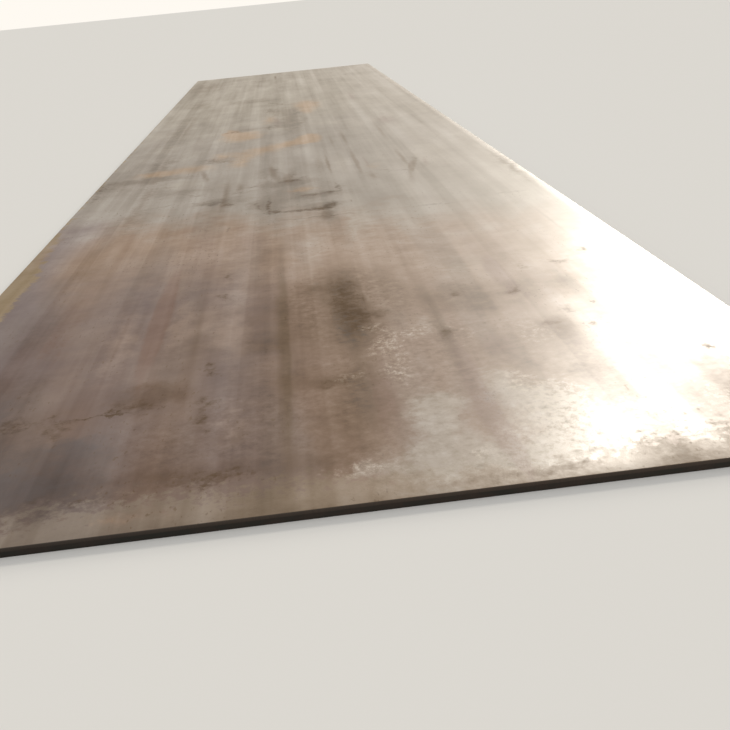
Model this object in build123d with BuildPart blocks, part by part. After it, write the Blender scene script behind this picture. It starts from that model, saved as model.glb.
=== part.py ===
from build123d import *
from math import radians, tan
import os

# A hot-rolled steel plate, sheared to size on all four sides. Lengths are in millimetres.
# X runs across the rolling direction, Y along it, and the underside lies on Z = 0,
# with the origin under the middle of the plate.
plate_width = 2200.0
plate_length = 12000.0
plate_thickness = 20.0

# The sheared edge, from the top down: the arris that the blade rolled over, the upright band
# that it burnished, and the torn band below, which leans in towards the underside.
rollover_radius = 2.0
burnished_band = 5.5
torn_lean_degrees = 3.0

# The lower arris, dulled by handling.
lower_arris_break = 0.5

# The torn band takes what the rollover and the burnished band leave of the thickness.
torn_band = plate_thickness - rollover_radius - burnished_band
torn_inset = torn_band * tan(radians(torn_lean_degrees))

with BuildPart() as plate:
    with BuildSketch(Plane.XY):
        Rectangle(plate_width, plate_length)
    extrude(amount=plate_thickness)

    underside = plate.faces().sort_by(Axis.Z)[0]
    chamfer(underside.edges(), length=torn_inset, length2=torn_band, reference=underside)
    underside = plate.faces().sort_by(Axis.Z)[0]
    chamfer(underside.edges(), length=lower_arris_break)

    top_face = plate.faces().sort_by(Axis.Z)[-1]
    fillet(top_face.edges(), radius=rollover_radius)

plate.part.label = "plate"

os.makedirs("parts", exist_ok=True)
export_step(plate.part, "parts/plate.step")
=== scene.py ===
import math

import bpy
import numpy as np
from mathutils import Matrix, Vector


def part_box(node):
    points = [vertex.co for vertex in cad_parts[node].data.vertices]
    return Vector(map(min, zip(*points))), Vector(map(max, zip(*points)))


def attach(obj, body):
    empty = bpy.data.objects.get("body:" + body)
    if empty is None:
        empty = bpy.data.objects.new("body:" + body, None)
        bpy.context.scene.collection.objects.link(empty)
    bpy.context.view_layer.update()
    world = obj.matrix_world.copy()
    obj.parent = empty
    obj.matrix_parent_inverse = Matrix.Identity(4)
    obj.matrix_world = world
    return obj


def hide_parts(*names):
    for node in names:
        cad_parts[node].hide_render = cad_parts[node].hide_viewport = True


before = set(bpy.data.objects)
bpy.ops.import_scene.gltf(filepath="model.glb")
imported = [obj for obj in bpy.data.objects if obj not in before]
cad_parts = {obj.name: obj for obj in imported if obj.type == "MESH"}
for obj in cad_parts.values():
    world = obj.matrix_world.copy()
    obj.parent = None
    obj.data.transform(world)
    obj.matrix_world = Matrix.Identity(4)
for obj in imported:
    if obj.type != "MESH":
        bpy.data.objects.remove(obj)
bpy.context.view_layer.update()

low_corner, high_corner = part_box("plate")
half_width = high_corner[0]
half_length = high_corner[1]
thickness = high_corner[2] - low_corner[2]

# The sheared edge in metres, from the top down, as the plate's solid has it.
rollover_radius = 0.002
burnished_band = 0.0055
torn_lean = math.radians(3.0)
lower_arris_break = 0.0005
torn_band = thickness - rollover_radius - burnished_band
torn_inset = torn_band * math.tan(torn_lean)

# How the visible edge strays from the solid's, in metres. It only ever strays inwards.
mean_bite = 0.00025
tear_line_clearance = 0.0016
tear_line_short_waves = 0.0007
tear_line_long_waves = 0.0009
tear_line_step = 0.00005
torn_setback = 0.00035
torn_roughness = 0.0004
arris_roughness = 0.0003

# The visible mesh: coarse cells on the two rolled faces, fine columns round the edge.
cells_across = 44
cells_along = 240
columns_per_end_cell = 8
columns_per_side_cell = 5
rollover_angles = [90.0, 62.0, 34.0, 8.0]
torn_levels = [0.12, 0.32, 0.52, 0.72, 0.9]
sharp_edge_degrees = 38.0

# The slow waves that rolling leaves in the two faces, in metres. The rim stays level.
wavelengths = [3.1, 2.2, 1.6, 1.2, 0.9, 0.7]
wave_depth = 0.0009
underside_wave_share = 0.5
level_rim = 0.3

chance = np.random.default_rng(20)


# The camera stands behind the plate's front end, a little left of its middle line.
camera_place = Vector((-0.021, -7.685, 0.905))
camera_focal_length = 50.4
camera_sensor_width = 36.0
camera_looks_down = math.radians(20.035)
camera_looks_right = math.radians(2.891)
camera_leans_right = math.radians(5.740)
camera_sight = 500.0


def place_camera():
    data = bpy.data.cameras.new("view_of_plate")
    data.lens = camera_focal_length
    data.sensor_width = camera_sensor_width
    data.clip_end = camera_sight
    camera = bpy.data.objects.new("view_of_plate", data)
    turn = Matrix.Rotation(-camera_looks_right, 4, "Z")
    tip = Matrix.Rotation(math.pi / 2 - camera_looks_down, 4, "X")
    lean = Matrix.Rotation(-camera_leans_right, 4, "Z")
    camera.matrix_world = Matrix.Translation(camera_place) @ turn @ tip @ lean
    bpy.context.collection.objects.link(camera)
    bpy.context.scene.camera = camera


def smooth_noise(length, spacing):
    """Smooth random values from -1 to 1 that close on themselves, with one to every `spacing` places."""
    knots = max(4, round(length / spacing))
    values = chance.uniform(-1.0, 1.0, knots)
    places = np.linspace(0.0, knots, length, endpoint=False)
    left = places.astype(int)
    share = places - left
    share = share * share * (3.0 - 2.0 * share)
    return values[left] * (1.0 - share) + values[(left + 1) % knots] * share


def rim_columns():
    """The outline's points, anticlockwise from the front left corner, and the cell corners' numbers."""
    corners = [(-1, -1), (1, -1), (1, 1), (-1, 1)]
    points = []
    cell_corners = []
    for side, (start, end) in enumerate(zip(corners, corners[1:] + corners[:1])):
        is_end = side % 2 == 0
        cells = cells_across if is_end else cells_along
        fine = columns_per_end_cell if is_end else columns_per_side_cell
        for step in range(cells * fine):
            share = step / (cells * fine)
            if step % fine == 0:
                cell_corners.append(len(points))
            x = start[0] + (end[0] - start[0]) * share
            y = start[1] + (end[1] - start[1]) * share
            points.append((x * half_width, y * half_length))
    return np.array(points), cell_corners


def edge_levels(count):
    """Height and inset of each level of the sheared edge, from the top face down, for `count` columns."""
    levels = []
    for angle in np.radians(rollover_angles):
        z = thickness - rollover_radius * (1.0 - math.sin(angle))
        levels.append((np.full(count, z), np.full(count, rollover_radius * (1.0 - math.cos(angle)))))
    tear = smooth_noise(count, 5) * tear_line_short_waves
    tear = tear + smooth_noise(count, 40) * tear_line_long_waves
    levels.append((np.full(count, torn_band + tear_line_clearance), np.zeros(count)))
    levels.append((torn_band + tear, np.full(count, tear_line_step)))
    ragged = smooth_noise(count, 3) * 0.5 + smooth_noise(count, 9) * 0.5
    for share in torn_levels:
        fresh = smooth_noise(count, 2) * 0.5 + smooth_noise(count, 6) * 0.5
        ragged = ragged * 0.55 + fresh * 0.45
        z = (torn_band + tear) * (1.0 - share)
        levels.append((z, torn_inset * share + torn_setback + torn_roughness * ragged))
    dulled = lower_arris_break * (1.0 + 0.5 * smooth_noise(count, 7))
    levels.append((dulled * 0.8, torn_inset + torn_setback + arris_roughness * ragged))
    levels.append((np.zeros(count), torn_inset + torn_setback + dulled))
    return levels


def edge_rings(outline, vertices):
    """Adds the sheared edge's vertices, a ring to each level, and gives the rings' vertex numbers."""
    count = len(outline)
    bite = smooth_noise(count, 60) * mean_bite + mean_bite
    rings = []
    for z, inset in edge_levels(count):
        inset = inset + bite
        across = outline[:, 0] * (1.0 - inset / half_width)
        along = outline[:, 1] * (1.0 - inset / half_length)
        rings.append(np.arange(count) + len(vertices))
        vertices.extend(np.column_stack([across, along, z]).tolist())
    return rings


def rolling_waves(x, y):
    """The slight unevenness that rolling leaves, from 0 to 1, and none at the rim."""
    total = np.zeros_like(x)
    for wavelength in wavelengths:
        turn = chance.uniform(0.0, math.pi)
        start = chance.uniform(0.0, 2.0 * math.pi)
        run = (x * math.cos(turn) + y * math.sin(turn)) * 2.0 * math.pi / wavelength
        total += np.sin(run + start) * wavelength / sum(wavelengths)
    to_rim = np.minimum(half_width - np.abs(x), half_length - np.abs(y))
    return (0.5 + 0.5 * total) * np.clip(to_rim / level_rim, 0.0, 1.0)


def cell_corner_numbers(rim, first_inner):
    """The vertex numbers of a rolled face's cell corners, in rows across the plate, rim included."""
    numbers = np.empty((cells_along + 1, cells_across + 1), int)
    inner = np.arange((cells_along - 1) * (cells_across - 1)) + first_inner
    numbers[1:-1, 1:-1] = inner.reshape(cells_along - 1, cells_across - 1)
    numbers[0, :] = rim[: cells_across + 1]
    numbers[:, -1] = rim[cells_across : cells_across + cells_along + 1]
    numbers[-1, ::-1] = rim[cells_across + cells_along : 2 * cells_across + cells_along + 1]
    numbers[::-1, 0] = np.append(rim[2 * cells_across + cells_along :], rim[0])
    return numbers


def face_cells(ring, cell_corners, numbers):
    """A rolled face's cells, anticlockwise from above. Those at the rim take in its fine columns."""
    count = len(ring)
    rim_between = {}
    for start, end in zip(cell_corners, cell_corners[1:] + [count]):
        rim_between[ring[start], ring[end % count]] = ring[start + 1 : end].tolist()
    cells = []
    for row in range(cells_along):
        for column in range(cells_across):
            loop = [numbers[row, column], numbers[row, column + 1]]
            loop += [numbers[row + 1, column + 1], numbers[row + 1, column]]
            cell = []
            for this, following in zip(loop, loop[1:] + loop[:1]):
                cell.append(this)
                cell.extend(rim_between.get((this, following), []))
            cells.append(cell)
    return cells


def plate_mesh():
    outline, cell_corners = rim_columns()
    vertices = []
    rings = edge_rings(outline, vertices)
    faces = []
    for upper, lower in zip(rings, rings[1:]):
        faces.extend(zip(upper, lower, np.roll(lower, -1), np.roll(upper, -1)))

    x, y = np.meshgrid(
        np.linspace(-half_width, half_width, cells_across + 1)[1:-1],
        np.linspace(-half_length, half_length, cells_along + 1)[1:-1],
    )
    hollow = rolling_waves(x, y) * wave_depth
    top = (rings[0], thickness - hollow, True)
    underside = (rings[-1], hollow * underside_wave_share, False)
    for ring, z, upwards in (top, underside):
        numbers = cell_corner_numbers(ring[cell_corners], len(vertices))
        vertices.extend(np.column_stack([x.ravel(), y.ravel(), z.ravel()]).tolist())
        for cell in face_cells(ring, cell_corners, numbers):
            faces.append(cell if upwards else cell[::-1])
    mesh = bpy.data.meshes.new("plate_surface")
    mesh.from_pydata(vertices, [], [[int(number) for number in face] for face in faces])
    mesh.validate()
    mesh.shade_smooth()
    mesh.set_sharp_from_angle(angle=math.radians(sharp_edge_degrees))
    mesh.update()
    return mesh


class Value:
    """One output of a shader node, with the arithmetic of single values written as Python's operators."""

    def __init__(self, recipe, socket):
        self.recipe = recipe
        self.socket = socket

    def worked(self, operation, *terms):
        return self.recipe.node("ShaderNodeMath", {"operation": operation}, dict(enumerate(terms)))

    def __add__(self, other):
        return self.worked("ADD", self, other)

    def __radd__(self, other):
        return self.worked("ADD", other, self)

    def __sub__(self, other):
        return self.worked("SUBTRACT", self, other)

    def __rsub__(self, other):
        return self.worked("SUBTRACT", other, self)

    def __mul__(self, other):
        return self.worked("MULTIPLY", self, other)

    def __rmul__(self, other):
        return self.worked("MULTIPLY", other, self)

    def at_most(self, other):
        return self.worked("MINIMUM", self, other)

    def at_least(self, other):
        return self.worked("MAXIMUM", self, other)


class Recipe:
    """The nodes of a material or of the world."""

    def __init__(self, owner):
        owner.use_nodes = True
        self.tree = owner.node_tree
        self.tree.nodes.clear()

    def node(self, kind, settings=None, sockets=None, output=0):
        """Makes a node with these settings, then these sockets' values or links, and gives one output."""
        made = self.tree.nodes.new(kind)
        for name, setting in (settings or {}).items():
            setattr(made, name, setting)
        for name, value in (sockets or {}).items():
            if isinstance(value, Value):
                self.tree.links.new(value.socket, made.inputs[name])
            else:
                made.inputs[name].default_value = value
        return Value(self, made.outputs[output]) if made.outputs else None


class Finish(Recipe):
    """The nodes of one material, with the steps that the plate's finishes share."""

    def __init__(self, name):
        self.material = bpy.data.materials.new(name)
        super().__init__(self.material)

    def place(self):
        """Where a point of the plate is, in metres."""
        return self.node("ShaderNodeTexCoord", output="Object")

    def along(self, place, axis):
        return self.node("ShaderNodeSeparateXYZ", {}, {0: place}, axis)

    def stretched(self, place, x, y, z):
        return self.node("ShaderNodeVectorMath", {"operation": "MULTIPLY"}, {0: place, 1: (x, y, z)})

    def moved(self, place, step):
        return self.node("ShaderNodeVectorMath", {"operation": "ADD"}, {0: place, 1: step})

    def face_noise(self, place, across, along, detail, roughness, seed, output):
        """Noise from 0 to 1 on a face. The seed moves and turns it."""
        sockets = {
            "Vector": place,
            "Location": (seed, 2.7 * seed, 0.0),
            "Rotation": (0.0, 0.0, 0.6 + seed),
            "Scale": (across, along, 1.0),
        }
        where = self.node("ShaderNodeMapping", {"vector_type": "POINT"}, sockets)
        sockets = {"Vector": where, "Scale": 1.0, "Detail": detail, "Roughness": roughness}
        return self.node("ShaderNodeTexNoise", {"noise_dimensions": "2D"}, sockets, output)

    def grain(self, place, across, along, detail, roughness, seed):
        """Noise from -0.5 to 0.5 on a face, with so many waves to the metre across and along."""
        return self.face_noise(place, across, along, detail, roughness, seed, "Fac") - 0.5

    def wander(self, place, across, along, detail, roughness, seed):
        """The same noise as a step in X, Y and Z."""
        noise = self.face_noise(place, across, along, detail, roughness, seed, "Color")
        return self.moved(noise, (-0.5, -0.5, -0.5))

    def grit(self, place, x, y, z, detail):
        """Noise from -0.5 to 0.5 through the solid, with so many waves to the metre along each axis."""
        sockets = {"Vector": self.stretched(place, x, y, z), "Scale": 1.0, "Detail": detail}
        return self.node("ShaderNodeTexNoise", {}, sockets) - 0.5

    def rise(self, value, start, end, low=0.0, high=1.0):
        """Goes smoothly from low to high as value goes from start to end."""
        sockets = {"Value": value, "From Min": start, "From Max": end, "To Min": low, "To Max": high}
        return self.node("ShaderNodeMapRange", {"interpolation_type": "SMOOTHSTEP"}, sockets)

    def blend(self, share, first, second):
        """A colour that goes from the first to the second as share goes from 0 to 1."""
        return self.node("ShaderNodeMix", {"data_type": "RGBA"}, {0: share, 6: first, 7: second}, 2)

    def marks(self, place, rows):
        """How far each point lies in the oval marks: x, y, half width, half length, turn, strength."""
        total = 0.0
        for x, y, half_across, half_along, turn, strength in rows:
            sockets = {
                "Vector": place,
                "Location": (x, y, thickness),
                "Rotation": (0.0, 0.0, math.radians(turn)),
                "Scale": (half_across, half_along, 1.0),
            }
            inside = self.node("ShaderNodeMapping", {"vector_type": "TEXTURE"}, sockets)
            shape = {"gradient_type": "SPHERICAL"}
            share = self.node("ShaderNodeTexGradient", shape, {"Vector": inside}, "Fac")
            total = share.worked("MULTIPLY_ADD", share, strength, total)
        return total

    def worn(self, marks, breakup, full):
        """The marks with a broken outline and holes, as `breakup` has it, and whole from `full` up."""
        return self.rise(marks + breakup, 0.2, full) * self.rise(marks, 0.0, 0.15)

    def closed(self, colour, rough, sheen, height, strength):
        """Ends the material. The sheen is its specular level, and the height is in metres."""
        relief = {"Height": height, "Distance": 1.0, "Strength": strength}
        surface = self.node("ShaderNodeBsdfPrincipled", {}, {
            "Base Color": colour,
            "Roughness": rough,
            "Specular IOR Level": sheen,
            "Normal": self.node("ShaderNodeBump", {}, relief),
        })
        self.node("ShaderNodeOutputMaterial", {}, {"Surface": surface})
        return self.material


# Colours of the finishes, as the shaders' linear numbers.
brown_scale = (0.171, 0.105, 0.066, 1.0)
# Mauve scale on the left: its own hue, darkened further as painted shade of the darker left side.
mauve_scale_and_shade = (0.112, 0.080, 0.076, 1.0)
cool_scale = (0.120, 0.088, 0.068, 1.0)
blue_mauve = (0.074, 0.062, 0.064, 1.0)
# Paler scale farther along the plate: dusted, and partly painted sheen of the grazing view.
grey_dust_and_sheen = (0.219, 0.187, 0.156, 1.0)
warm_dust_and_sheen = (0.251, 0.215, 0.169, 1.0)
lilac_scale = (0.190, 0.150, 0.142, 1.0)
rosy_scale = (0.234, 0.158, 0.108, 1.0)
red_oxide = (0.118, 0.054, 0.032, 1.0)
umber_stain = (0.088, 0.050, 0.020, 1.0)
dark_stain = (0.060, 0.032, 0.010, 1.0)
tan_margin = (0.215, 0.163, 0.112, 1.0)
grey_margin = (0.222, 0.184, 0.150, 1.0)
yellow_margin = (0.235, 0.172, 0.088, 1.0)
tan_rust = (0.300, 0.202, 0.122, 1.0)
# The palest tone: pale bloom, and painted sheen where it pales the right side and the shine at the front
# right.
pale_bloom_and_sheen = (0.276, 0.238, 0.196, 1.0)
pale_pink = (0.240, 0.172, 0.134, 1.0)
pale_flake_and_glint = (0.400, 0.335, 0.265, 1.0)
# Colours of the cut edge: rusted steel, darkened further as painted shade.
shaded_cut_brown = (0.031, 0.020, 0.014, 1.0)
shaded_cut_black = (0.018, 0.016, 0.011, 1.0)
shaded_burnished_brown = (0.052, 0.033, 0.022, 1.0)

# Marks on the top face: x, y, half width and half length in metres, turn in degrees, strength.
# Long narrow ones run along the rolling direction.
red_marks = [
    (-0.478, -4.62, 0.042, 0.75, 0, 2.2),
    (0.590, -4.56, 0.046, 0.32, 0, 2.0),
    (0.345, -5.68, 0.034, 0.42, 2, 2.2),
    (0.345, -5.30, 0.030, 0.30, 2, 1.3),
    (0.130, -5.50, 0.065, 0.42, 0, 0.9),
    (0.450, -5.22, 0.080, 0.16, 0, 0.8),
    (-0.780, -4.75, 0.070, 0.45, 0, 0.5),
    (0.385, -2.05, 0.030, 0.50, 0, 0.7),
    (-0.100, 0.50, 0.060, 0.80, 0, 0.8),
    (0.680, -0.15, 0.140, 0.45, 0, 0.8),
    (0.580, 1.90, 0.060, 0.70, 0, 0.8),
    (0.680, -2.25, 0.030, 0.35, -8, 0.6),
    (-0.020, -2.72, 0.060, 0.16, 0, 0.5),
]
orange_marks = [
    (0.160, 1.50, 0.190, 0.65, 0, 1.4),
    (0.110, -0.75, 0.120, 0.36, 0, 1.8),
    (-0.020, -0.90, 0.150, 0.24, 0, 1.2),
    (-0.350, -0.28, 0.220, 0.42, 0, 1.6),
    (-0.450, 0.03, 0.080, 0.26, 0, 1.2),
    (-0.200, -1.10, 0.230, 0.34, 0, 1.1),
    (-0.320, -1.50, 0.100, 0.42, 0, 1.0),
    (-0.450, -1.20, 0.120, 0.26, 0, 1.0),
    (-0.620, -1.60, 0.300, 0.30, -6, 0.9),
    (-0.850, -1.66, 0.200, 0.20, 0, 0.8),
    (-0.160, 0.60, 0.090, 0.50, 0, 0.9),
    (0.150, 0.95, 0.100, 0.36, 0, 0.9),
    (0.010, -2.66, 0.120, 0.12, 0, 0.9),
    (0.420, -2.20, 0.080, 0.20, 0, 0.6),
    (-0.450, -5.93, 0.240, 0.05, 0, 0.45),
]
dark_lines = [
    (-0.103, -4.90, 0.032, 1.60, 0, 1.5),
    (-0.095, -4.95, 0.014, 0.90, 0, 0.8),
    (-0.350, -4.90, 0.050, 1.10, 0, 0.7),
    (0.335, -5.02, 0.034, 0.72, 0, 1.1),
    (0.095, -5.10, 0.060, 1.00, 0, 0.9),
    (0.215, -4.60, 0.050, 0.45, 0, 0.7),
    (-0.200, -4.90, 0.050, 0.50, 0, 0.5),
    (0.130, -1.90, 0.070, 0.60, 0, 0.8),
    (0.178, -1.90, 0.014, 0.60, 0, 1.1),
    (0.330, -1.95, 0.024, 0.65, 0, 1.7),
    (0.588, -1.95, 0.024, 0.60, 0, 1.4),
    (0.615, -2.25, 0.030, 0.30, -10, 1.6),
    (0.560, -2.60, 0.034, 0.40, -6, 1.0),
    (0.380, -2.48, 0.050, 0.22, 0, 1.2),
    (-0.365, -2.60, 0.034, 0.75, 0, 1.4),
    (-0.300, -2.42, 0.040, 0.20, 0, 1.3),
    (-0.780, -2.60, 0.055, 1.60, 0, 1.0),
    (-0.515, -1.90, 0.030, 0.36, 6, 1.5),
    (-0.130, -2.05, 0.034, 0.45, 4, 1.5),
    (-0.055, -2.30, 0.060, 0.24, 0, 1.6),
    (0.930, -3.90, 0.014, 0.60, 0, 1.0),
    (-0.800, 0.50, 0.060, 1.80, 0, 0.8),
    (0.590, -0.80, 0.034, 0.80, 0, 1.1),
    (0.330, -0.90, 0.026, 0.60, 0, 1.2),
    (0.245, -1.00, 0.024, 0.50, 0, 0.9),
    (0.900, -0.60, 0.040, 1.20, 0, 0.7),
    (-0.105, 5.20, 0.030, 0.50, 0, 1.2),
    (0.100, -3.32, 0.050, 0.20, 0, 1.6),
]
stains = [
    (0.085, -4.52, 0.095, 0.28, 0, 1.3),
    (0.000, -4.50, 0.080, 0.12, 0, 0.9),
    (0.095, -4.74, 0.095, 0.34, 0, 1.3),
    (0.120, -4.86, 0.150, 0.24, 0, 1.1),
    (0.160, -4.84, 0.060, 0.05, 10, 0.8),
    (0.000, -5.34, 0.070, 0.08, 0, 1.2),
    (0.045, -5.38, 0.100, 0.04, 0, 0.9),
    (-0.515, -5.395, 0.050, 0.026, 0, 1.9),
    (-0.450, -5.36, 0.110, 0.060, -30, 1.3),
    (-0.600, -5.400, 0.180, 0.014, 0, 1.5),
    (0.335, -5.08, 0.024, 0.08, 0, 1.5),
    (0.630, -5.10, 0.070, 0.10, 0, 0.7),
    (0.700, -5.02, 0.050, 0.05, 0, 0.8),
    (0.800, -4.48, 0.070, 0.04, 0, 1.4),
    (0.690, -4.50, 0.050, 0.06, 0, 1.2),
    (0.420, -4.72, 0.050, 0.05, 0, 1.1),
    (0.590, -4.75, 0.030, 0.06, 0, 1.5),
    (0.720, -5.16, 0.022, 0.030, 0, 1.7),
    (0.790, -4.95, 0.020, 0.030, 0, 1.5),
    (0.940, -5.40, 0.026, 0.060, 0, 1.5),
    (0.915, -4.38, 0.026, 0.050, 0, 1.6),
    (0.900, -5.62, 0.070, 0.030, 0, 1.0),
    (-0.250, -5.81, 0.180, 0.035, 0, 1.3),
    (-0.520, -5.84, 0.200, 0.030, 0, 0.9),
    (-0.740, -5.40, 0.050, 0.10, 0, 1.1),
    (-0.640, -5.47, 0.040, 0.05, 0, 1.2),
    (-0.640, -5.42, 0.060, 0.020, 0, 1.3),
    (-0.290, -5.44, 0.040, 0.030, 0, 1.4),
    (-0.230, -5.60, 0.060, 0.040, 0, 0.9),
    (-1.080, -2.00, 0.040, 0.20, 0, 1.5),
    (-1.050, -2.30, 0.060, 0.20, 0, 0.9),
    (-0.150, 1.30, 0.080, 0.30, 0, 1.1),
    (-0.160, 0.10, 0.050, 0.22, 0, 1.3),
    (-0.430, 0.02, 0.090, 0.12, 0, 1.3),
    (-0.090, 1.85, 0.060, 0.35, 20, 1.0),
    (-0.350, 2.50, 0.300, 0.12, 0, 0.9),
    (-0.350, 4.90, 0.350, 0.18, 0, 0.9),
    (-0.100, 5.30, 0.030, 0.30, 0, 1.0),
    (0.700, 4.60, 0.160, 0.30, 0, 0.7),
    (-0.770, -1.25, 0.090, 0.28, 0, 0.9),
    (-0.510, -1.34, 0.070, 0.20, 0, 1.3),
    (-0.420, -1.42, 0.080, 0.10, 0, 1.0),
    (0.080, 0.20, 0.060, 0.50, -6, 0.7),
    (0.050, 1.10, 0.030, 0.60, 0, 0.8),
    (-0.295, -4.22, 0.022, 0.08, 0, 1.5),
    (-0.290, -4.47, 0.030, 0.06, 0, 1.7),
    (-0.305, -5.12, 0.022, 0.06, 0, 1.8),
    (-0.290, -5.19, 0.026, 0.05, 0, 2.0),
    (-0.300, -5.36, 0.036, 0.05, 0, 1.9),
    (-0.275, -5.41, 0.022, 0.03, 0, 1.7),
    (-0.300, -5.49, 0.034, 0.05, 0, 2.0),
    (-0.290, -5.56, 0.026, 0.03, 0, 1.6),
]
bluish_marks = [
    (-0.650, -5.76, 0.340, 0.28, 0, 1.2),
    (-0.900, -5.40, 0.320, 0.50, 0, 1.0),
    (-0.560, -5.55, 0.160, 0.14, 0, 0.7),
    (-0.850, -4.60, 0.160, 0.50, 0, 0.6),
]
# Broad soft darker patches: halos of old stains, and at the near left corner painted shade.
shades = [
    (0.100, -4.62, 0.260, 0.60, 0, 1.6),
    (0.090, -5.25, 0.120, 0.60, 0, 0.9),
    (-0.050, -4.85, 0.300, 0.36, 0, 0.6),
    (0.030, -4.50, 0.100, 0.16, 0, 0.9),
    (0.530, -4.74, 0.260, 0.30, 0, 1.4),
    (-0.820, -4.70, 0.140, 0.60, 0, 0.9),
    (-0.820, -3.90, 0.160, 0.60, 0, 0.8),
    (0.620, -5.15, 0.140, 0.25, 0, 1.0),
    (0.000, 0.40, 0.150, 1.40, 0, 1.3),
    (-0.160, -3.00, 0.120, 0.30, 0, 0.9),
    (-0.800, -3.00, 0.120, 0.60, 0, 0.9),
    (0.440, -5.24, 0.150, 0.24, 0, 0.7),
    (0.080, -5.60, 0.180, 0.26, 0, 0.6),
    (-0.430, -5.31, 0.130, 0.14, -20, 1.8),
    # Painted shade of the darker near left corner.
    (-0.850, -5.60, 0.420, 0.60, 0, 1.1),
    (-0.300, -5.79, 0.500, 0.08, 0, 0.9),
    (0.420, -4.80, 0.100, 0.20, 0, 1.1),
    (0.760, -4.72, 0.160, 0.32, 0, 1.0),
    (0.800, -4.20, 0.100, 0.30, 0, 0.7),
    (-0.850, -5.20, 0.160, 0.26, 0, 1.0),
    (-0.620, -5.72, 0.200, 0.24, 0, 0.9),
    (-0.800, -1.50, 0.100, 0.90, 0, 0.9),
    (-0.180, -2.00, 0.100, 0.30, 0, 0.8),
    (0.100, -4.68, 0.340, 0.44, 0, 0.9),
    (-0.060, -5.20, 0.100, 0.30, 0, 0.7),
    (0.005, -5.60, 0.080, 0.26, 0, 0.9),
    (0.020, -5.80, 0.110, 0.12, 0, 0.8),
    (0.290, -5.96, 0.260, 0.045, 0, 0.9),
    (-0.150, -5.00, 0.120, 0.12, 0, 0.9),
    (0.000, -5.34, 0.180, 0.12, 0, 0.9),
    (0.000, -2.75, 0.420, 0.55, 0, 1.1),
    (-0.600, -2.35, 0.500, 0.25, 0, 0.8),
    (-0.800, -1.85, 0.450, 0.14, -4, 1.0),
    (-1.000, -2.00, 0.220, 0.35, 0, 0.8),
    (0.080, -1.90, 0.220, 0.50, 0, 0.6),
    (0.620, -2.25, 0.160, 0.35, 0, 0.7),
    (0.110, -3.38, 0.080, 0.24, 0, 1.1),
    (0.110, -3.12, 0.150, 0.12, 0, 1.1),
    (-0.060, -2.42, 0.200, 0.14, 0, 1.2),
    (-0.410, -2.74, 0.200, 0.12, 0, 1.0),
    (0.080, -2.84, 0.180, 0.09, 0, 0.9),
    (-0.350, 2.30, 0.550, 0.25, 0, 0.7),
    (-0.100, 1.20, 0.200, 0.50, 0, 0.7),
    (-0.450, -1.35, 0.220, 0.25, 0, 0.9),
    (-0.860, 0.30, 0.120, 2.20, 0, 0.7),
    (-0.900, 4.60, 0.350, 1.60, 0, 1.2),
    (-0.820, 2.50, 0.160, 0.70, 0, 1.0),
    (0.010, -1.00, 0.120, 0.40, 0, 1.0),
    (-0.300, 0.10, 0.350, 0.16, 0, 0.8),
    (1.060, -2.60, 0.050, 0.80, 0, 1.2),
    (0.410, -5.95, 0.090, 0.04, 0, 1.0),
]
# The dried edges of a puddle, as short strokes that join.
tide_lines = [
    (-0.150, -2.98, 0.018, 0.24, 0, 1.9),
    (-0.130, -3.15, 0.050, 0.070, 0, 2.4),
    (-0.030, -3.17, 0.130, 0.046, -3, 2.0),
    (0.090, -3.17, 0.080, 0.080, -6, 2.0),
    (0.135, -3.11, 0.050, 0.090, 0, 2.0),
    (0.225, -3.08, 0.012, 0.07, 0, 1.4),
    (-0.200, -2.98, 0.016, 0.22, 6, 1.3),
    (0.040, -2.83, 0.060, 0.072, -30, 1.5),
    (0.130, -2.81, 0.100, 0.054, 15, 1.5),
    (0.190, -2.68, 0.018, 0.14, 0, 1.9),
    (-0.430, -2.78, 0.140, 0.072, -32, 1.1),
    (-0.345, -2.86, 0.050, 0.080, 0, 1.4),
    (-0.640, -2.72, 0.180, 0.048, 6, 0.8),
    (-0.040, -2.37, 0.080, 0.070, 0, 1.8),
    (0.030, -2.30, 0.050, 0.060, 0, 1.2),
    (-0.030, -2.16, 0.045, 0.20, 0, 1.1),
    (-0.110, -2.00, 0.035, 0.26, 12, 1.0),
    (-0.165, -2.20, 0.024, 0.26, 0, 0.8),
    (-0.240, -2.43, 0.050, 0.056, 0, 1.3),
    (-0.300, -2.55, 0.120, 0.056, 10, 0.9),
    (-0.540, -2.48, 0.180, 0.064, -40, 0.8),
    (-0.700, -2.16, 0.260, 0.064, -4, 0.9),
    (0.080, -3.352, 0.440, 0.026, -3, 1.1),
    (0.560, -3.37, 0.200, 0.042, -3, 1.0),
    (0.900, -3.28, 0.220, 0.032, 4, 0.9),
    (-0.320, -3.42, 0.014, 0.09, 0, 1.2),
    (-0.430, -3.36, 0.020, 0.10, 20, 0.8),
    (0.450, -2.34, 0.070, 0.080, 30, 1.0),
    (0.560, -2.40, 0.200, 0.048, 8, 0.9),
    (0.640, -2.05, 0.050, 0.100, 20, 1.1),
]
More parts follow.
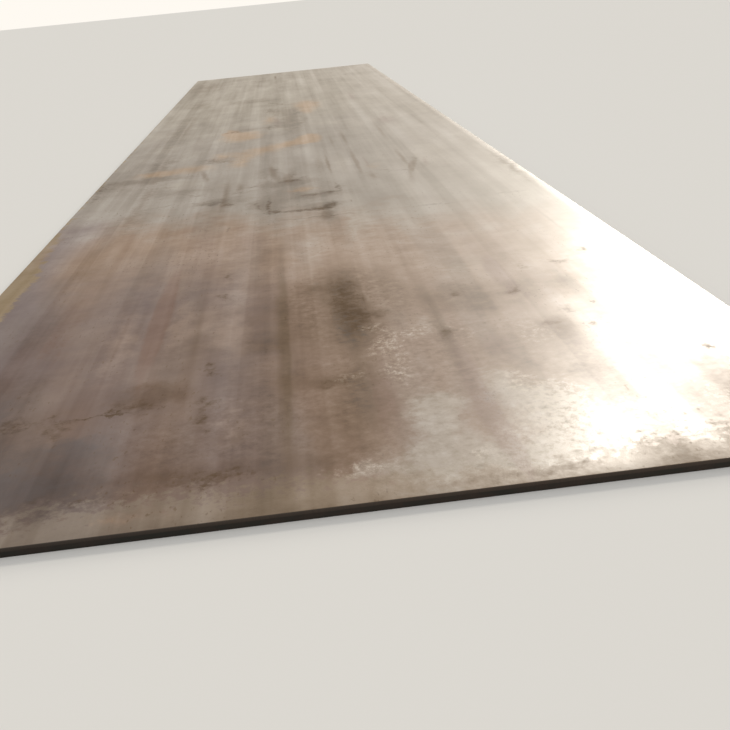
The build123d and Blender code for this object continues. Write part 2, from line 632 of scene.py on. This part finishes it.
# Pale patches of bloom, and in the shine at the front right, painted sheen.
pale_and_sheen_marks = [
    (-0.020, -4.10, 0.080, 0.55, 0, 1.0),
    (0.190, -3.30, 0.022, 1.30, 0, 0.9),
    (-0.570, -4.80, 0.080, 0.60, 0, 1.4),
    (-0.415, -4.75, 0.055, 0.50, 0, 1.4),
    (-0.340, -4.75, 0.110, 0.36, 0, 1.1),
    (-0.400, -3.60, 0.120, 0.50, 0, 1.6),
    (0.400, -3.70, 0.200, 0.60, 0, 0.8),
    (0.300, -5.00, 0.080, 0.16, 0, 0.9),
    (0.235, -5.70, 0.100, 0.24, 0, 1.9),
    (0.480, -5.70, 0.140, 0.28, 0, 2.0),
    (0.280, -5.86, 0.080, 0.06, 0, 1.5),
    (0.060, -5.87, 0.100, 0.04, 0, 1.2),
    (-0.390, -5.93, 0.110, 0.06, 0, 1.4),
    (0.820, 0.50, 0.130, 2.80, 0, 1.0),
    (0.250, -2.00, 0.080, 0.60, 0, 1.5),
    (0.700, -2.60, 0.160, 0.80, 0, 0.6),
    (-0.250, -4.35, 0.110, 0.25, 0, 0.6),
    (-0.260, -4.88, 0.090, 0.14, 0, 0.6),
    (0.080, -3.325, 0.460, 0.016, -3, 1.0),
    (-0.060, -3.00, 0.060, 0.12, 0, 0.8),
    (0.210, -2.95, 0.040, 0.20, 0, 0.7),
    (-0.300, -2.10, 0.080, 0.30, 0, 0.6),
    (0.180, -2.00, 0.025, 0.55, 0, 0.8),
    (0.490, -2.35, 0.040, 0.12, 0, 0.6),
    (-0.650, -2.10, 0.180, 0.20, 0, 1.1),
    (-0.600, -0.90, 0.200, 0.24, 0, 1.1),
    (-0.380, -2.30, 0.120, 0.20, 0, 1.0),
    (-0.950, -1.00, 0.100, 0.80, 0, 0.8),
    (0.190, -5.86, 0.200, 0.14, 0, 1.7),
    (0.400, -5.87, 0.140, 0.10, 0, 1.9),
    (0.210, -3.60, 0.080, 0.40, 0, 1.1),
    (0.550, -4.35, 0.080, 0.14, 0, 0.5),
    (0.030, -3.75, 0.110, 0.50, 0, 1.0),
    (-0.220, -3.65, 0.110, 0.50, 0, 1.8),
    (-0.235, -4.85, 0.070, 0.60, 0, 1.4),
    (-0.220, -5.55, 0.070, 0.20, 0, 1.2),
    (0.250, -3.20, 0.060, 0.50, 0, 1.2),
    (0.500, -2.90, 0.080, 0.60, 0, 1.1),
    (0.480, -1.90, 0.060, 0.50, 0, 1.1),
    (0.690, -1.95, 0.090, 0.50, 0, 1.5),
    (0.750, -1.20, 0.090, 0.90, 0, 1.0),
    (-0.600, -2.15, 0.130, 0.28, 0, 1.1),
    (0.000, -3.00, 0.080, 0.12, 0, 1.0),
    (0.620, 2.40, 0.220, 1.10, 0, 1.7),
    (0.930, 1.00, 0.120, 1.20, 0, 1.6),
    (0.450, -0.60, 0.070, 0.90, 0, 0.9),
    (-0.350, 1.30, 0.150, 0.40, 0, 0.8),
    (0.230, -5.58, 0.090, 0.18, 0, 1.7),
    (0.420, -5.55, 0.070, 0.14, 0, 1.2),
    (0.800, -1.90, 0.120, 0.60, 0, 1.4),
    (0.820, 2.50, 0.150, 0.90, 0, 1.5),
    (-0.420, -3.05, 0.090, 0.30, 0, 1.6),
    (-1.070, -3.50, 0.050, 0.60, 0, 1.3),
    (0.400, 0.60, 0.100, 0.90, 0, 1.0),
    (0.390, -5.43, 0.080, 0.14, 0, 1.1),
    (0.480, -4.45, 0.100, 0.30, 0, 0.9),
]
# Where the scale has wrinkled and lifts in small pale flakes. At the front right, in the shine, their
# paleness is also painted glints.
flaked_marks = [
    (0.170, -5.12, 0.070, 0.18, 0, 1.8),
    (0.180, -5.35, 0.060, 0.14, 0, 1.8),
    (0.150, -4.96, 0.070, 0.06, 0, 1.4),
    (0.250, -5.05, 0.080, 0.12, 0, 1.2),
    (0.050, -5.34, 0.080, 0.10, 0, 1.2),
    (0.430, -5.74, 0.130, 0.20, 0, 2.2),
    (0.510, -5.62, 0.100, 0.20, 0, 2.0),
    (0.440, -5.50, 0.060, 0.14, 0, 1.6),
    (0.050, -5.86, 0.120, 0.04, 0, 1.6),
    (0.280, -5.85, 0.080, 0.04, 0, 1.6),
    (0.380, -5.10, 0.090, 0.16, 0, 1.0),
    (0.560, -5.15, 0.100, 0.24, 0, 1.0),
    (0.860, -5.70, 0.180, 0.20, 0, 1.2),
]
# Where the scale is crumbly, in wide patches.
crumbly_marks = [
    (0.250, -5.35, 0.520, 0.60, 0, 1.6),
    (0.100, -4.65, 0.300, 0.50, 0, 1.8),
    (-0.300, -5.60, 0.400, 0.30, 0, 0.8),
    (0.450, -5.80, 0.700, 0.20, 0, 1.2),
]
# Where the scale is smoother and shines more, and its colour is paler as painted sheen. A negative
# strength marks a rougher place.
smooth_sheen_marks = [
    (0.400, -5.76, 0.300, 0.36, 0, 2.2),
    (0.200, -5.85, 0.200, 0.25, 0, 2.2),
    (0.720, -5.97, 0.260, 0.10, 0, -1.1),
    (0.980, -5.78, 0.260, 0.40, 0, -2.0),
]


# Where the scale changes, in metres from the plate's middle: each change's start and end.
brown_across = (-0.75, 0.0)
rosy_across = (-1.0, -0.6)
rosy_along = (-4.9, -3.8)
dust_and_sheen_along = (-3.85, -2.95)
warm_dust_and_sheen_along = (-1.5, 2.0)
pale_dust_and_sheen_across = (0.0, 1.0)
tan_margin_across = (-0.6, 0.0)
crisp_margin_across = (-0.1, 0.4)
left_margin_along = (-2.6, -4.2)
polish_across = (-0.3, 0.65)
crumbs_across = (-0.7, 0.3)
pale_grey_across = (-0.15, 0.2)

# How far in from the edges the scale has flaked, and how far in the paler strip on the right ends.
left_margin_depth = 0.085
front_margin_depth = 0.118
right_strip_end = (0.170, 0.161)

# Roughness of the scale on the left, on the right and under the dust.
matt_roughness = 0.57
polished_roughness = 0.39
dusty_roughness = 0.46

# The relief of the scale's skin and of the cut edge, in metres.
crumb_height = 0.00006
thread_height = 0.00002
flake_height = 0.00002
margin_flake_height = 0.00006
cut_height = 0.0003

# How much the burnished band's lower limit wanders, and half the height that it fades over, in metres.
burnished_wander = 0.004
burnished_fade = 0.0012


class MillScale(Finish):
    """The finish of a rolled face: grey-brown scale, streaked along the rolling direction."""

    def __init__(self, name, seed):
        super().__init__(name)
        spot = self.place()
        self.spot = spot
        self.x = self.along(spot, 0)
        self.y = self.along(spot, 1)
        self.drift = self.grain(spot, 1.7, 0.35, 3, 0.5, seed + 1)
        self.cloud = self.grain(spot, 4.5, 3.0, 3, 0.55, seed + 3)
        self.haze = self.grain(spot, 4.0, 0.8, 4, 0.6, seed + 45)
        self.tint = self.grain(spot, 6, 0.8, 2, 0.5, seed + 29)
        self.mottle = self.grain(spot, 9, 12, 6, 0.62, seed + 17)
        self.crumb = self.grain(spot, 36, 38, 5, 0.70, seed + 21)
        self.fleck = self.grain(spot, 90, 36, 2, 0.5, seed + 37)
        self.band = self.grain(spot, 9, 0.2, 3, 0.6, seed + 5)
        self.broad_band = self.grain(spot, 8, 0.06, 1, 0.5, seed + 7)
        self.streak = self.grain(spot, 34, 0.5, 4, 0.6, seed + 9)
        self.thread = self.grain(spot, 130, 3.0, 3, 0.6, seed + 12)

    def coat(self, share, colour):
        """Lays a colour over the ones that are there."""
        self.colour = self.blend(share, self.colour, colour)

    def lay_scale(self):
        """Mauve and brown scale in front, and farther along the plate the scale is dusted pale, partly as
        painted sheen, paler still to the right.
        """
        # Darker mauve on the left, brown to the right: partly the scale's hue, partly painted shade.
        browner = self.rise(self.x + self.drift * 1.4 + self.mottle * 0.2, *brown_across)
        self.colour = self.blend(browner, mauve_scale_and_shade, brown_scale)
        rosier = self.rise(self.x + self.drift * 0.8, *rosy_across)
        rosy = self.rise(self.y + self.x * 0.7 + self.drift * 1.2 + self.mottle * 0.3, *rosy_along)
        self.coat(rosy, self.blend(rosier, lilac_scale, rosy_scale))
        ragged = self.x * 0.4 + self.cloud * 0.9 + self.mottle * 0.5
        self.dust_and_sheen = self.rise(self.y + ragged, *dust_and_sheen_along)
        dust_and_sheen_colour = self.blend(self.rise(self.y + self.cloud * 3.0, *warm_dust_and_sheen_along), grey_dust_and_sheen, warm_dust_and_sheen)
        # Paler towards the right: painted sheen.
        paler = self.rise(self.x + self.mottle * 0.4, *pale_dust_and_sheen_across)
        self.coat(self.dust_and_sheen, self.blend(paler * 0.5, dust_and_sheen_colour, pale_bloom_and_sheen))
        self.bare = 1.0 - self.dust_and_sheen * 0.8
        self.coat(self.rise(self.tint, 0.0, 0.16) * (self.bare * 0.20 + 0.04), cool_scale)
        self.coat(self.rise(self.tint, -0.04, -0.18) * (self.bare * 0.12 + 0.02), red_oxide)

    def flake_margins(self):
        """Tan margins in front and on the left, where the scale has flaked off, with ragged outlines."""
        to_right = half_width - self.x
        to_left = half_width + self.x
        to_front = half_length + self.y
        self.coat(self.rise(to_right + self.mottle * 0.012, *right_strip_end) * 0.05, pale_bloom_and_sheen)
        depth = self.rise(self.y, *left_margin_along, 0.0, left_margin_depth)
        ragged = self.mottle * 0.12 + self.crumb * 0.06
        left = self.rise(to_left - depth + ragged, 0.012, -0.012)
        self.coat(left * 0.75, yellow_margin)
        ragged = self.mottle * 0.14 + self.crumb * 0.34
        softness = self.rise(self.x, *crisp_margin_across, 0.045, 0.010)
        front = self.rise(to_front - front_margin_depth + ragged, softness, 0.0 - softness)
        margin_colour = self.blend(self.rise(self.x, *tan_margin_across), grey_margin, tan_margin)
        self.coat(front * 0.75, margin_colour)
        self.margin = left.at_least(front)

    def streak_along(self):
        """How light and how rough the scale is: bands, streaks and threads, clouds and crumbs."""
        polish = self.rise(self.x, *polish_across, matt_roughness, polished_roughness)
        self.rough = polish + self.dust_and_sheen * (dusty_roughness - polish)
        bands = self.rise(self.broad_band, -0.03, 0.04, -0.065, 0.065)
        light = 1.0 + self.band * (self.dust_and_sheen * 0.30 + 0.5) + bands + self.drift * 0.25
        light = light + self.cloud * (self.bare * 0.2 + 0.40) + self.haze * (self.dust_and_sheen * 0.2 + 0.6)
        light = light + self.streak * (self.bare * 0.04 + 0.18) + self.thread * self.bare * 0.08
        crumbs = self.rise(self.x, *crumbs_across, 0.35, 0.85) * self.bare
        self.light = light + crumbs * (self.mottle * 0.8 + self.crumb * 0.5)

    def strayed(self, wander, across, along):
        """Each point moved a little by `wander`, at most about so far across and along the plate."""
        return self.moved(self.spot, self.stretched(wander, across, along, 0.0))

    def lay_marks(self):
        """The stains, rust, bloom and lifted flakes of the top face, from the oldest to the newest. Pale
        and smoother places in the shine at the front right are also painted sheen, and darker patches at
        the near left painted shade.
        """
        wander = self.wander(self.spot, 11, 8, 6, 0.65, 41)
        straying = self.strayed(wander, 0.12, 0.20)
        drawn = self.strayed(wander, 0.016, 0.05)
        dried = self.strayed(wander, 0.07, 0.12)
        breakup = (self.mottle + self.crumb) * 0.5
        fibre = (self.streak + self.crumb) * 0.5

        shade = self.rise(self.marks(straying, shades) + breakup * 1.4, 0.1, 1.3)
        self.coat(shade * 0.26, umber_stain)
        bluish = self.worn(self.marks(straying, bluish_marks), breakup * 1.2, 1.2)
        self.coat(bluish * 0.8, blue_mauve)
        # Pale bloom, and painted sheen where the marks lie in the shine.
        pale = self.worn(self.marks(straying, pale_and_sheen_marks), breakup * 1.2, 1.7)
        greyer = self.rise(self.x, *pale_grey_across).at_least(self.dust_and_sheen)
        self.coat(pale * 0.65, self.blend(greyer, pale_pink, pale_bloom_and_sheen))

        red = self.worn(self.marks(drawn, red_marks), fibre * 2.0, 0.9)
        self.coat(red * 0.52, red_oxide)
        rusty = self.worn(self.marks(straying, orange_marks), breakup * 1.2, 1.1)
        self.coat(rusty * 0.9, tan_rust)

        line = self.worn(self.marks(drawn, dark_lines), fibre * 1.4, 1.4)
        self.coat(line * 0.65, umber_stain)
        stain = self.worn(self.marks(straying, stains), (breakup + self.streak * 0.4) * 3.0, 2.0)
        tide = self.worn(self.marks(dried, tide_lines), breakup * 2.0, 1.9)
        dark = (stain + tide).at_most(1.0) * self.rise(self.crumb, -0.10, 0.06, 0.55, 1.0)
        self.coat(dark * 0.84, dark_stain)

        wrinkle = self.grain(self.spot, 60, 42, 6, 0.75, 33)
        crinkled = self.worn(self.marks(straying, flaked_marks), breakup * 2.2, 1.6)
        lifted = crinkled * self.rise(wrinkle, -0.04, 0.12)
        # Pale lifted flakes; at the front right, in the shine, also painted glints.
        self.coat(lifted * 0.44, pale_flake_and_glint)
        crumbly = self.marks(straying, crumbly_marks).at_most(1.0)
        smooth_sheen = self.marks(straying, smooth_sheen_marks).at_most(1.0)

        light = self.light - shade * 0.28 + crumbly * self.crumb * 0.9 + crinkled * wrinkle * 1.5
        # The smoother places are lightened too: painted sheen.
        self.light = light + smooth_sheen.at_least(0.0) * (wrinkle * 0.8 + 0.20)
        rough = self.rough + dark * 0.28 + line * 0.08 + shade * 0.07 + crinkled * 0.03
        self.rough = rough - smooth_sheen * (wrinkle * 0.3 + 0.085) - lifted * 0.05

    def finished(self):
        """Adds fine dark flecks and the relief. The darker the scale, the richer its colour."""
        flecked = self.rise(self.fleck, 0.16, 0.24) * self.rise(self.cloud, -0.05, 0.10)
        self.coat(flecked * 0.45, umber_stain)
        richness = 1.06 + (1.0 - self.light) * 0.75
        sockets = {"Value": self.light, "Saturation": richness, "Color": self.colour}
        colour = self.node("ShaderNodeHueSaturation", {}, sockets)
        rough = self.rough + self.margin * 0.06 - (self.light - 1.0) * 0.10 + flecked * 0.08
        flaking = self.rise(self.grain(self.spot, 60, 60, 4, 0.7, 51), -0.03, 0.03)
        height = flaking * (flake_height + self.margin * margin_flake_height)
        height = (height + self.crumb * crumb_height + self.thread * thread_height) * self.bare
        return self.closed(colour, rough, 0.25, height, 0.8)


def bare_scale(name, seed):
    scale = MillScale(name, seed)
    scale.lay_scale()
    scale.flake_margins()
    scale.streak_along()
    return scale


def top_scale():
    scale = bare_scale("top_scale", 0.0)
    scale.lay_marks()
    return scale.finished()


def underside_scale():
    return bare_scale("underside_scale", 60.0).finished()


def cut_edge():
    """The sheared edge: dark, brown-rusted steel, smoother and browner on its burnished band. Its colours
    are darker than the steel's own: painted shade.
    """
    finish = Finish("cut_edge")
    place = finish.place()
    patch = finish.grit(place, 18.0, 18.0, 60.0, 5.0)
    scratch = finish.grit(place, 380.0, 380.0, 12.0, 3.0)
    height_on_edge = finish.along(place, 2) + patch * burnished_wander
    burnished = finish.rise(height_on_edge, torn_band - burnished_fade, torn_band + burnished_fade)
    colour = finish.blend(finish.rise(patch, -0.15, 0.15), shaded_cut_brown, shaded_cut_black)
    colour = finish.blend(burnished * 0.7, colour, shaded_burnished_brown)
    # The edge's colour is darker towards the left side: six tenths as bright at x = -0.9 m, full from x =
    # 0.5 m.
    light = (scratch * 0.8 + 1.0) * finish.rise(finish.along(place, 0), -0.9, 0.5, 0.6, 1.0)
    colour = finish.node("ShaderNodeHueSaturation", {}, {"Value": light, "Color": colour})
    rough = 0.75 - burnished * 0.22 + scratch * 0.2
    return finish.closed(colour, rough, 0.35, (patch + scratch) * cut_height, 0.6)


# A face whose normal points this far up or down belongs to a rolled face and not to the cut edge.
rolled_face_normal = 0.9


def make_plate():
    plate = bpy.data.objects.new("plate_surface", plate_mesh())
    bpy.context.collection.objects.link(plate)
    for finish in (top_scale(), underside_scale(), cut_edge()):
        plate.data.materials.append(finish)
    for face in plate.data.polygons:
        if face.normal.z > rolled_face_normal:
            face.material_index = 0
        elif face.normal.z < -rolled_face_normal:
            face.material_index = 1
        else:
            face.material_index = 2
    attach(plate, "root")
    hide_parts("plate")


floor_reach = 300.0
floor_colour = (0.72, 0.715, 0.7, 1.0)


def make_floor():
    corners = [(-1, -1), (1, -1), (1, 1), (-1, 1)]
    mesh = bpy.data.meshes.new("floor")
    mesh.from_pydata([(x * floor_reach, y * floor_reach, 0.0) for x, y in corners], [], [(0, 1, 2, 3)])
    floor = bpy.data.objects.new("floor", mesh)
    bpy.context.collection.objects.link(floor)
    finish = Finish("floor_paint")
    surface = finish.node("ShaderNodeBsdfPrincipled", {}, {
        "Base Color": floor_colour,
        "Roughness": 0.9,
        "Specular IOR Level": 0.0,
    })
    finish.node("ShaderNodeOutputMaterial", {}, {"Surface": surface})
    floor.data.materials.append(finish.material)


# What the sky gives to matt surfaces. Seen directly or in a reflection it is a bright cream white.
sky_brightness = 0.47
sky_colour = (1.0, 0.98, 0.94, 1.0)
sky_seen_colour = (1.0, 0.955, 0.885, 1.0)


def make_sky():
    world = bpy.data.worlds.new("studio")
    bpy.context.scene.world = world
    recipe = Recipe(world)
    camera_ray = recipe.node("ShaderNodeLightPath", output="Is Camera Ray")
    glossy_ray = recipe.node("ShaderNodeLightPath", output="Is Glossy Ray")
    glass_ray = recipe.node("ShaderNodeLightPath", output="Is Transmission Ray")
    seen = camera_ray.at_least(glossy_ray).at_least(glass_ray)
    plain = recipe.node("ShaderNodeBackground", {}, {"Color": sky_colour, "Strength": sky_brightness})
    white = recipe.node("ShaderNodeBackground", {}, {"Color": sky_seen_colour, "Strength": 1.0})
    either = recipe.node("ShaderNodeMixShader", {}, {0: seen, 1: plain, 2: white})
    recipe.node("ShaderNodeOutputWorld", {}, {"Surface": either})


warm_light = (1.0, 0.93, 0.82)
white_light = (1.0, 1.0, 1.0)


def aim_lamp(right_of_ahead, above):
    """The turn of a lamp so many degrees right of straight ahead and above the floor."""
    across = math.radians(right_of_ahead)
    up = math.radians(above)
    from_there = Vector((math.sin(across) * math.cos(up), math.cos(across) * math.cos(up), math.sin(up)))
    return from_there.to_track_quat("Z", "Y").to_matrix().to_4x4()


def make_lamp(name, right_of_ahead, above, spread, strength, colour):
    """A soft distant lamp: degrees to the right of straight ahead, degrees up, and how wide it is."""
    data = bpy.data.lights.new(name, "SUN")
    data.angle = math.radians(spread)
    data.energy = strength
    data.color = colour
    lamp = bpy.data.objects.new(name, data)
    bpy.context.collection.objects.link(lamp)
    lamp.matrix_world = aim_lamp(right_of_ahead, above)


place_camera()
make_floor()
make_sky()
make_plate()
make_lamp("low_light", right_of_ahead=20.0, above=30.0, spread=9.0, strength=1.2, colour=warm_light)
make_lamp("skimming_light", right_of_ahead=24.0, above=15.0, spread=16.0, strength=1.3, colour=warm_light)
make_lamp("high_light", right_of_ahead=-120.0, above=60.0, spread=40.0, strength=0.8, colour=white_light)
bpy.context.scene.view_settings.view_transform = "Standard"
